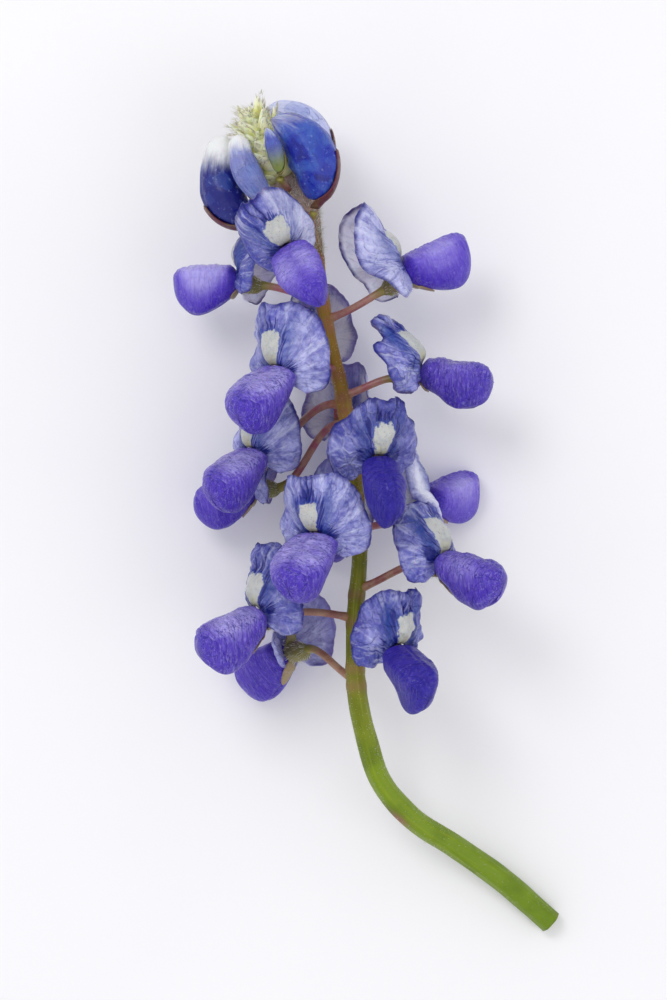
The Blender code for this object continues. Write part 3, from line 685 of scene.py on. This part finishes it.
def bannerSurface(turn, share, row):
    # the petal laid flat: distance from the midline and height above the throat
    seed = row.number * 1.7
    notch = banner["notch"] * np.exp(-((turn / banner["notchWidth"]) ** 2))
    taller = row.taller * np.maximum(0, np.cos(turn)) ** 2
    waist = row.waist * hump(np.abs(turn), banner["waistAt"], banner["waistWidth"])
    outer = (banner["radius"] + banner["rise"] * np.cos(turn) + taller - notch) * (1 - waist)
    outer = outer * (1 + 0.012 * np.sin(5 * turn + seed) + 0.007 * np.sin(13 * turn - seed)
        + 0.004 * np.sin(41 * turn + seed))
    outer = outer * (1 - 0.25 * ease(0.82, 1, np.abs(turn) / banner["sweep"]) ** 2)
    inner = banner["inner"] + banner["innerRise"] * np.cos(turn / 2) ** 2
    radius = inner + (outer - inner) * share
    across, height = radius * np.sin(turn) * row.narrow, radius * np.cos(turn)
    # then folded, leaning back and cupped
    rise = ease(0, banner["foldFullAt"], height)
    fold = radians(row.fold) * (banner["lobeFold"] + (1 - banner["lobeFold"]) * rise)
    length = np.abs(across) / banner["foldSteps"]
    side, back = np.zeros_like(across), np.zeros_like(across)
    for step in range(banner["foldSteps"]):
        angle = fold * (1 - np.exp(-(step + 0.5) * length / banner["foldEase"]))
        side += np.cos(angle) * length
        back += np.sin(angle) * length
    lean = radians(row.lean)
    above = np.maximum(0, height - banner["leanFrom"])
    leaning = above * above / (above + banner["leanEase"])
    up = height - (1 - cos(lean)) * leaning
    swell = np.clip((up - banner["leanFrom"]) / banner["bulgeHeight"], 0, 1)
    forward = -back - sin(lean) * leaning
    forward = forward + banner["bulge"] * np.sin(pi * swell) * hump(across, 0, banner["bulgeWidth"])
    forward = forward + banner["wave"] * np.sin(banner["waves"] * turn) * share * share
    return np.stack((np.copysign(side, across), forward, up), axis=-1), across, height


def makeBanner(row):
    number, seed = row.number, row.number * 1.7
    name = "bloom_%02d_banner" % number
    turn, share = petalGrid(banner["columns"], banner["rows"], banner["sweep"])
    share = share ** 0.9
    middle, across, height = bannerSurface(turn, share, row)
    normals = gridNormals(middle, (0, 1, 0))
    # the pale patch is narrow at the throat and widens upwards
    size = row.patchSize
    halfWidth = size * (0.42 + 0.72 * ease(0.6, 3.6, height))
    patchTop = banner["patchHeight"] * size ** 0.5
    beside = across - row.patchAt
    away = np.abs(beside)

    def fromTop(low, high):
        return ease(patchTop + low, patchTop + high, height)

    topness = ease(1.3, 0.3, np.abs(turn))
    depth = banner["ruffle"] * share ** 5 * (np.sin(11 * turn + seed) + 0.7 * np.sin(27 * turn + 2 * seed))
    depth = depth * (0.3 + 0.9 * topness)
    pleat = np.sin(across * 5.2 + seed) * hump(across, 0, 2.6) * ease(4, 6, height)
    depth = depth + banner["pleat"] * pleat
    crease = np.zeros_like(across)
    for offset in row.creases:  # a sharp fold from the top of the patch to the top edge
        climb = np.clip((height - patchTop + 0.4) / 3, 0, 1.3)
        line = beside - offset * (0.3 + 0.7 * climb) - 0.08 * np.sin(2.3 * height + seed + offset)
        onset = fromTop(-0.5, 0.5)
        depth = depth - 0.3 * hump(line, 0, 0.17) * onset
        depth = depth + 0.16 * hump(line, np.copysign(0.4, offset), 0.25) * onset
        # painted shade along the fold, laid as ink
        crease = np.maximum(crease, 0.95 * hump(line, 0, 0.2) * onset)
    calm = 1 - 0.7 * hump(beside, 0, halfWidth * 1.2) * fromTop(1.2, 0)
    lumps = ripple(across, height, 40 + number, 2.6) + 0.4 * ripple(across, height, 60 + number, 0.95)
    lumps = lumps + 0.14 * ripple(across, height, 80 + number, 0.5)
    depth = depth + banner["crumple"] * row.crumple * calm * lumps
    depth = (depth - banner["curl"] * ease(0.8, 1.05, share)) * ease(0, 0.25, share)
    middle = middle + normals * depth[..., None]
    inside = ease(1, 0.85, share) * ease(-0.02, 0.1, share)
    thickness = banner["rim"] + (banner["thickness"] - banner["rim"]) * inside
    # where each colour lies
    patch = np.clip(1.3 - (away / halfWidth) ** 1.5, 0, 1) * fromTop(0.8, -0.7)
    ink = 0.6 * row.ink * fromTop(-0.6, 0.2) * fromTop(2.6, 0) * hump(beside, 0, 1.1)
    ink = np.maximum(ink, 0.5 * row.ink * hump(away, halfWidth + 0.3, 0.4) * fromTop(1.6, -0.4)
        * ease(-0.4, 1, height))
    blot = hump(away, halfWidth + 1.3, 0.8) * hump(height, 0.6, 1)
    ink = np.maximum(ink, 0.6 * row.blot * blot)
    # painted shade beside the patch, lower down towards the throat
    teal = (row.blue * hump(away, halfWidth + 0.7, 0.9) * fromTop(2, -0.5) * ease(-1.2, 0.8, height))
    left, right = ease(-0.4, -1.6, across), ease(0.4, 1.6, across)
    # the paler half is partly the petal's own colour and partly painted light where it turns away into
    # shade
    paleLitHalf = row.paleLeft * left + row.paleRight * right
    pale = row.pale * ease(0.9, 3.4, away) * ease(1.05, 0.7, share)
    fade = 1 - 0.85 * np.clip(paleLitHalf, 0, 1)
    dark = row.dark * np.clip(ease(0.45, 1, share) * 0.7 + 0.4 * topness, 0, 1)
    dark = np.clip(dark + row.darkLeft * left + row.darkRight * right, 0, 1)
    marks = {"turn": turn, "share": share, "pale": np.clip(pale + paleLitHalf, 0, 1), "tone": row.tone,
        "worn": min(1, 0.15 + 0.35 * row.crumple), "back": np.repeat((0, 1), turn.size)}
    both = {"patch": (patch, patch * 0.35), "ink": (ink * fade, ink * 0.2),
            "teal": (teal * fade, teal * 0.3), "dark": (dark, dark * 0.6),
            "crease": (crease, crease * 0.3)}  # front, back
    marks.update({label: np.append(*sides) for label, sides in both.items()})
    addShell(name + "_petal", "banner", name, bannerMaterial, middle, thickness, (0, 1, 0), marks, row)


print("petals")
for row in blooms:
    makeBanner(row)
    makeWings(row)


calyx = {
    # forward, up and radius along the cup
    "cupLine": ((-3.25, -1.12, 0.42), (-2.9, -1.1, 0.66), (-2.4, -1.05, 0.98), (-1.7, -0.85, 1.18),
                (-0.85, -0.7, 1.22), (-0.5, -0.66, 1.2)),
    "sides": 30, "wall": 0.86, "thickness": 0.16, "lowerGrid": (15, 30), "upperGrid": (13, 18),
    "lipSpread": 0.46, "lipGap": 0.11, "upperLip": 2, "teeth": 0.12,
}


def cupRings(line, girth, turn):
    forward, up, radius = line[:, 0:1], line[:, 1:2], line[:, 2:3] * girth
    return np.stack((radius * np.sin(turn), forward + 0 * turn, up + radius * np.cos(turn)), -1)


def makeCalyx(row):
    name = "bloom_%02d_" % row.number
    line = smoothLine(calyx["cupLine"], 4)
    turn = tau * np.arange(calyx["sides"]) / calyx["sides"]
    cup = np.concatenate((cupRings(line, 1, turn), cupRings(line[::-1], calyx["wall"], turn)[:-4]))
    along = np.interp(np.arange(len(cup)), (0, len(line) - 1), (0, 0.45))
    faces = ringFaces(len(cup), calyx["sides"])
    marks = {"along": np.repeat(along, calyx["sides"]), "warm": row.warm}
    addPiece(name + "calyx_cup", "stem", "stem", calyxMaterial, toSpike(cup, row), faces, marks)
    # the long lower lip hugs the wings from below
    u, v = petalGrid(*calyx["lowerGrid"])
    taper = np.sqrt(np.clip(1 - v ** 5, 0.004, 1)) * (0.75 + 0.25 * ease(0, 0.5, v))
    middle = wingsSurface(-0.85 + (0.85 + row.lip) * v, pi + u * calyx["lipSpread"] * taper, row,
        calyx["lipGap"])
    thickness = calyx["thickness"] * (0.5 + 0.5 * ease(1, 0.8, np.abs(u)))
    warm = row.warm * (0.4 + 0.6 * ease(0.5, 1, np.abs(u)))
    marks = {"along": v * 0.7 + 0.3, "warm": warm}
    addShell(name + "lower_lip", "stem", "stem", calyxMaterial, middle, thickness, (0, 0, -1), marks, row)
    # the upper lip stands behind the banner and ends in two blunt teeth
    u, v = petalGrid(*calyx["upperGrid"])
    tooth = calyx["teeth"] * np.cos(u * pi)
    angle = u * (0.95 - 0.35 * v)
    reach = calyx["upperLip"] * v * (1 - tooth * v)
    radius = 1.2 - 0.15 * v
    forward = -0.75 - 0.35 * v - (1 - np.cos(angle)) * 0.9 * v
    up = -0.75 + radius * np.cos(angle) * (1 - 0.75 * v) + reach
    middle = np.stack((radius * np.sin(angle), forward, up), -1)
    addShell(name + "upper_lip", "stem", "stem", calyxMaterial, middle, calyx["thickness"], (0, 1, 0),
        {"along": v * 0.5, "warm": 0.25 * v}, row)


print("calyces and stalks")
for row in blooms:
    makeCalyx(row)
parts = []
for row in blooms:
    forward, start = bloomFrame(row)[1], stemPoint(row.root)
    end = toSpike((0, -2.7, -1.07), row)
    outward = end - start
    reach = np.linalg.norm(outward)
    outward[1] = stem["stalkRise"] * reach
    path = bezierLine(start, start + unit(outward) * reach * 0.4, end - forward * reach * 0.3, end,
        stem["stalkSteps"])
    share = np.linspace(0, 1, len(path))
    radii = stem["stalkRadius"] * (1 + 0.5 * hump(share, 0, 0.12) + 0.35 * hump(share, 1, 0.12))
    marks = {"along": np.repeat(share, stem["stalkSides"]), "warm": min(1, row.root / 24)}
    parts.append((*tube(path, radii, stem["stalkSides"]), marks))
addPiece("flower_stalks", "stem", "stem", stalkMaterial, *gather(parts))


buds = (
    dict(start=(-10.6, 49.2, 2), bow=(-15.4, 51.2, 2), tip=(-13.2, 58, 1.8), radius=2.4,
         violet=0.95, white=1, blunt=0.22, calyxSide=(0.1, -1, 0.1)),
    dict(start=(-8.8, 51.2, 4.4), bow=(-11.8, 54, 5), tip=(-11.8, 58, 4), radius=1.6,
         white=0.9, pale=0.35, blunt=0.15, calyxSide=(0.3, -1, -0.6)),
    dict(start=(-3.8, 51.2, 3.8), bow=(-2.8, 57.4, 4.6), tip=(-8.4, 59.4, 5.8), radius=2.7,
         white=0.35, calyxSide=(1, -0.35, 0.1)),
    dict(start=(-3.8, 53.4, -3), bow=(-3.2, 60.6, -3.2), tip=(-9, 61.2, -2.2), radius=2.4,
         white=0.3, pale=0.85, calyxSide=(1, -0.3, 0)),
    dict(start=(-7.6, 54, 5.6), bow=(-7.9, 56.4, 6.8), tip=(-8.9, 58.4, 7.2), radius=0.9,
         white=0.4, pale=0.1, calyxSide=(0.8, -1, -0.9), warm=0.2, stalkWarm=0.2, olive=1),
)
bud = {
    "rings": 44, "sides": 44, "flat": 0.85, "foot": 0.3, "taper": 0.12, "ridge": 0.08, "groove": 0.1,
    "lumps": 0.035, "calyxGrid": (25, 20), "calyxGap": 0.14, "thickness": 0.16, "stalkSides": 12,
    "ordinary": dict(violet=0, pale=0, blunt=0, warm=1, stalkWarm=0.8, olive=0),
}


def makeBud(number, row):
    name = "bud_%d" % number
    start, bow, tip = (np.array(place, float) for place in (row.start, row.bow, row.tip))
    path = bezierLine(start, start + (bow - start) * 0.67, tip + (bow - tip) * 0.67, tip, bud["rings"])
    share, turn = np.linspace(0, 1, len(path)), ringTurns(bud["sides"])
    swelling = np.sin(pi * share ** 0.9) ** 0.7
    girth = row.radius * (bud["foot"] + (1 - bud["foot"]) * swelling - bud["taper"] * share)
    girth = girth + row.radius * row.blunt * hump(share, 0.9, 0.13)
    girth = girth * np.sqrt(1 - np.clip((share - 0.9) / 0.1, 0, 0.97) ** 2)  # rounded off at the tip
    radii = girth[:, None] * (1 + bud["ridge"] * hump(turn, pi * 1.5, 0.35)
        - bud["groove"] * hump(turn, pi * 1.1, 0.12))
    radii = radii * (1 + bud["lumps"] * ripple(turn * 1.5, share[:, None] * 6, 500 + number, 1.4))
    shares = np.repeat(share, bud["sides"])
    marks = {"share": shares, "around": turn, "white": ease(0.56, 0.96, shares) * row.white,
        "violet": row.violet, "pale": row.pale, "olive": row.olive * ease(0.7, 0.1, shares)}
    body = tube(path, radii, bud["sides"], bud["flat"])
    addPiece(name + "_petals", "bud", name, budMaterial, *body, marks)
    # a blunt lip that holds the foot of the bud
    side, along = unit(row.calyxSide), alongPath(path)
    columns, rows = bud["calyxGrid"]
    v = np.linspace(0, 1, rows)
    station = np.clip(-0.06 + 0.48 * v, 0, 1)
    centre, forward = (np.stack([np.interp(station, share, values[:, i]) for i in range(3)], -1)
        for values in (path, along))
    centre = centre - forward * (0.9 * row.radius * np.clip(0.12 - v, 0, 1) * 3)[:, None]
    radius = (np.interp(station, share, girth) + bud["calyxGap"]) * np.clip(0.45 + v * 5, 0, 1)
    outward = unit(side - forward * (forward @ side)[:, None])
    other = np.cross(forward, outward)
    angle = np.linspace(-1, 1, columns)[:, None] * (0.46 * np.sqrt(1 - v ** 2) + 2.2 * (1 - v) ** 6)
    angle = angle[..., None]
    middle = centre + radius[:, None] * (outward * np.cos(angle) + other * np.sin(angle))
    marks = {"along": v * 0.3, "warm": row.warm}
    addShell(name + "_calyx", "stem", "stem", calyxMaterial, middle, bud["thickness"], side, marks)
    # its short stalk
    forward = unit(bow - start)
    root = stemPoint(min(start[1] - 1, stemPath[-1, 1] - 1.5))
    end = start - forward * (0.45 + row.radius * 0.3)
    path = bezierLine(root, root + (end - root) * 0.35, end - forward * row.radius * 0.6, end, 14)
    sides = bud["stalkSides"]
    marks = {"along": np.repeat(np.linspace(0, 1, len(path)), sides), "warm": row.stalkWarm}
    stalk = tube(path, np.full(len(path), stem["stalkRadius"]), sides)
    addPiece(name + "_stalk", "stem", "stem", stalkMaterial, *stalk, marks)


print("buds")
for number, row in enumerate(buds, start=1):
    makeBud(number, SimpleNamespace(**{**bud["ordinary"], **row}))


tuft = {
    "length": 6.4, "radius": 2.8, "gap": 0.35, "bracts": 72, "bractLength": 3.6, "bractWidth": 2.2,
    "bractGrid": (9, 12), "thickness": 0.14, "golden": radians(137.5), "sides": 24,
    "core": ((0, 0.5), (0.12, 0.9), (0.3, 1), (0.65, 0.8), (0.9, 0.5), (1, 0.2)),
}


print("tuft")
draw = random.Random(7)
side = unit(np.cross(tipWay, (0, 0, 1)))
other = np.cross(side, tipWay)
foot = stemPath[-1] + tipWay * tuft["gap"]
parts, tuftWays = [], []
for index in range(tuft["bracts"]):
    share, turn = (index + 0.5) / tuft["bracts"], tuft["golden"] * index
    spoke = side * cos(turn) + other * sin(turn)
    tilt = radians(46 - 26 * share + draw.uniform(-12, 12))
    way = tipWay * cos(tilt) + spoke * sin(tilt)
    root = (foot + tipWay * tuft["length"] * (0.9 * share - 0.02)
        + spoke * tuft["radius"] * (1 - 0.75 * share) * 0.6)
    length = tuft["bractLength"] * draw.uniform(0.8, 1.1)
    u, v = petalGrid(*tuft["bractGrid"])
    aside = unit(np.cross(way, spoke))
    half = tuft["bractWidth"] / 2 * np.sin(pi * (0.16 + 0.84 * v) ** 0.8) ** 0.8
    lift = 0.35 * np.sin(pi * v) * length / 4 - 0.3 * v ** 3
    middle = (root + way * (length * v)[..., None] + aside * (u * half)[..., None]
        - spoke * (0.55 * half * u * u)[..., None] + spoke * lift[..., None])
    thickness = tuft["thickness"] * (0.4 + 0.6 * (1 - np.abs(u)))
    parts.append((*thinShell(middle, thickness, spoke), {"along": v}))
    tuftWays.append((root, way, spoke, length))
core = np.array(tuft["core"])
line = foot + tipWay * (tuft["length"] * core[:, 0])[:, None]
fine = smoothLine(np.column_stack((line, tuft["radius"] * core[:, 1])), 4)
parts.append((*tube(fine[:, :3], fine[:, 3], tuft["sides"]), {"along": 0.15}))
addPiece("tuft_bracts", "tuft", "tuft", tuftMaterial, *gather(parts))


hairs = {
    "seed": 21, "radius": 0.028, "bend": 0.18,
    "stem": 3400, "stemEverywhere": 1300,  # the others grow only on the young part near the tip
    "neck": 1500, "neckFrom": 45.5, "calyx": 150, "tuft": 52,
}


def growHairs(name, slot, girth, found):
    # tapered three-sided hairs that bend a little, each with its root, its way and its length
    roots, ways, lengths = (np.array(values) for values in zip(*found))
    lengths = lengths[:, None]
    helper = np.where(np.abs(ways[:, 2:3]) < 0.8, (0, 0, 1), (1, 0, 0))
    side = unit(np.cross(ways, helper))
    other = np.cross(side, ways)
    rings = []
    for share, width in ((0, 1), (0.55, 0.75)):
        centre = roots + ways * lengths * share + other * lengths * hairs["bend"] * share * share
        for turn in (0, tau / 3, 2 * tau / 3):
            rings.append(centre + (side * cos(turn) + other * sin(turn)) * hairs["radius"] * girth * width)
    tip = roots + ways * lengths + other * lengths * hairs["bend"]
    pattern = ((0, 2, 1), (0, 1, 4, 3), (1, 2, 5, 4), (2, 0, 3, 5), (3, 4, 6), (4, 5, 6), (5, 3, 6))
    faces = [tuple(7 * i + p for p in face) for i in range(len(roots)) for face in pattern]
    addPiece(name, slot, slot, hairMaterial, np.stack(rings + [tip], axis=1), faces)


def stemSpoke(station, turn):
    across = unit(np.cross(stemWays[station], (0, 0, 1)))
    return across * cos(turn) + np.cross(across, stemWays[station]) * sin(turn)


def stemHairs(draw):
    # short hairs all along the stem, longer near the tip
    for index in range(hairs["stem"]):
        station = draw.randrange(1, len(stemPath) - 1)
        young = float(ease(40, 50, stemPath[station, 1]))
        if index > hairs["stemEverywhere"] and young < 0.5:
            continue
        spoke, along = stemSpoke(station, draw.uniform(0, tau)), stemWays[station]
        root = (stemPath[station] + along * draw.uniform(-0.2, 0.2) + spoke * stemRadii[station] * 0.97)
        way = unit(spoke + along * draw.uniform(-0.2, 0.9))
        yield root, way, draw.uniform(0.2, 0.4) + 0.75 * young * draw.random()


def neckHairs(draw):
    # silvery down on the neck below the tuft
    young = [i for i in range(len(stemPath) - 1) if stemPath[i, 1] > hairs["neckFrom"]]
    for index in range(hairs["neck"]):
        station = draw.choice(young)
        spoke = stemSpoke(station, draw.uniform(0, tau))
        way = spoke * 0.6 + stemWays[station] * draw.uniform(0.2, 1.2)
        way = unit(way + np.array([draw.uniform(-0.6, 0.6) for _ in range(3)]))
        yield stemPath[station] + spoke * stemRadii[station] * 0.98, way, draw.uniform(0.4, 0.9)


def calyxHairs(draw):
    # silky hairs on the calyx cups
    stations, heights, girths = zip(*calyx["cupLine"])
    for row in blooms:
        axes = bloomFrame(row)
        for index in range(hairs["calyx"]):
            turn, forward = draw.uniform(0, tau), -3.1 + 2.6 * draw.random()
            spoke = np.array((sin(turn), 0, cos(turn)))
            root = (np.array((0, forward, np.interp(forward, stations, heights)))
                + spoke * np.interp(forward, stations, girths) * 0.98)
            way = unit(spoke * 0.8 + np.array((0, draw.uniform(0.2, 1.2), 0))) @ axes
            yield toSpike(root, row), unit(way), draw.uniform(0.3, 0.6)


def tuftHairs(draw):
    # long white hairs among the bracts
    for root, way, spoke, length in tuftWays:
        side = unit(np.cross(way, spoke))
        for index in range(hairs["tuft"]):
            share, across = draw.random(), draw.uniform(-0.8, 0.8)
            start = root + way * length * share + side * across * 0.7 + spoke * 0.1
            out = unit(way + spoke * draw.uniform(0.1, 1) + side * draw.uniform(-0.5, 0.5))
            yield start, out, draw.uniform(0.5, 1.3) * (1.1 - 0.4 * share)


print("hairs")
hairDraw = random.Random(hairs["seed"])
growHairs("stem_hairs", "stem", 0.65, stemHairs(hairDraw))
growHairs("neck_hairs", "stem", 1, neckHairs(hairDraw))
growHairs("calyx_hairs", "stem", 0.8, calyxHairs(hairDraw))
growHairs("tuft_hairs", "tuft", 1.2, tuftHairs(hairDraw))


studio = {
    "floorColour": "F4F3F6", "floorShade": "F1F0F4", "floorSize": 1.2, "worldLight": 0.85,
    "surface": (0, 0.05, 0, 0.03, 0.5, 0.8),
    "keyPower": 0.52, "keySize": 0.2, "keyPlace": (-0.16, 0.2, 0.42),
    "fillPower": 0.3, "fillSize": 0.4, "fillPlace": (0.3, -0.2, 0.35),
    "cameraHeight": 0.46, "viewCentre": (-0.00361, 0.00205), "viewLength": 0.105, "sensor": 36,
}


print("studio")
half = studio["floorSize"] / 2
mesh = bpy.data.meshes.new("floor")
corners = [(-half, -half, 0), (half, -half, 0), (half, half, 0), (-half, half, 0)]
mesh.from_pydata(corners, [], [(0, 1, 2, 3)])
floor = addObject("floor", mesh)
floor.location = (0, 0, -0.00005)
paper = Skin("palePaper", studio, "floorColour")
paper.lay(paper.noise(14).ramp(0.3, 0.7), "floorShade")
mesh.materials.append(paper.close())
world = bpy.data.worlds.new("softLight")
world.use_nodes = True
light = world.node_tree.nodes["Background"].inputs
light["Color"].default_value, light["Strength"].default_value = (1, 1, 1, 1), studio["worldLight"]
bpy.context.scene.world = world
for name in ("key", "fill"):
    data = bpy.data.lights.new(name, "AREA")
    data.shape, data.size, data.energy = "DISK", studio[name + "Size"], studio[name + "Power"]
    lamp = addObject(name, data)
    lamp.location = studio[name + "Place"]
    lamp.rotation_mode = "QUATERNION"
    lamp.rotation_quaternion = (-lamp.location).to_track_quat("-Z", "Y")
settings = bpy.context.scene.view_settings
settings.view_transform, settings.look = "Standard", "None"
data = bpy.data.cameras.new("camera")
data.sensor_width = studio["sensor"]
subjectHeight = spikeFoot[2] * millimetre
data.lens = studio["sensor"] * (studio["cameraHeight"] - subjectHeight) / studio["viewLength"]
data.clip_start, data.clip_end = 0.01, 10
camera = addObject("camera", data)
camera.location = (*studio["viewCentre"], studio["cameraHeight"])
bpy.context.scene.camera = camera
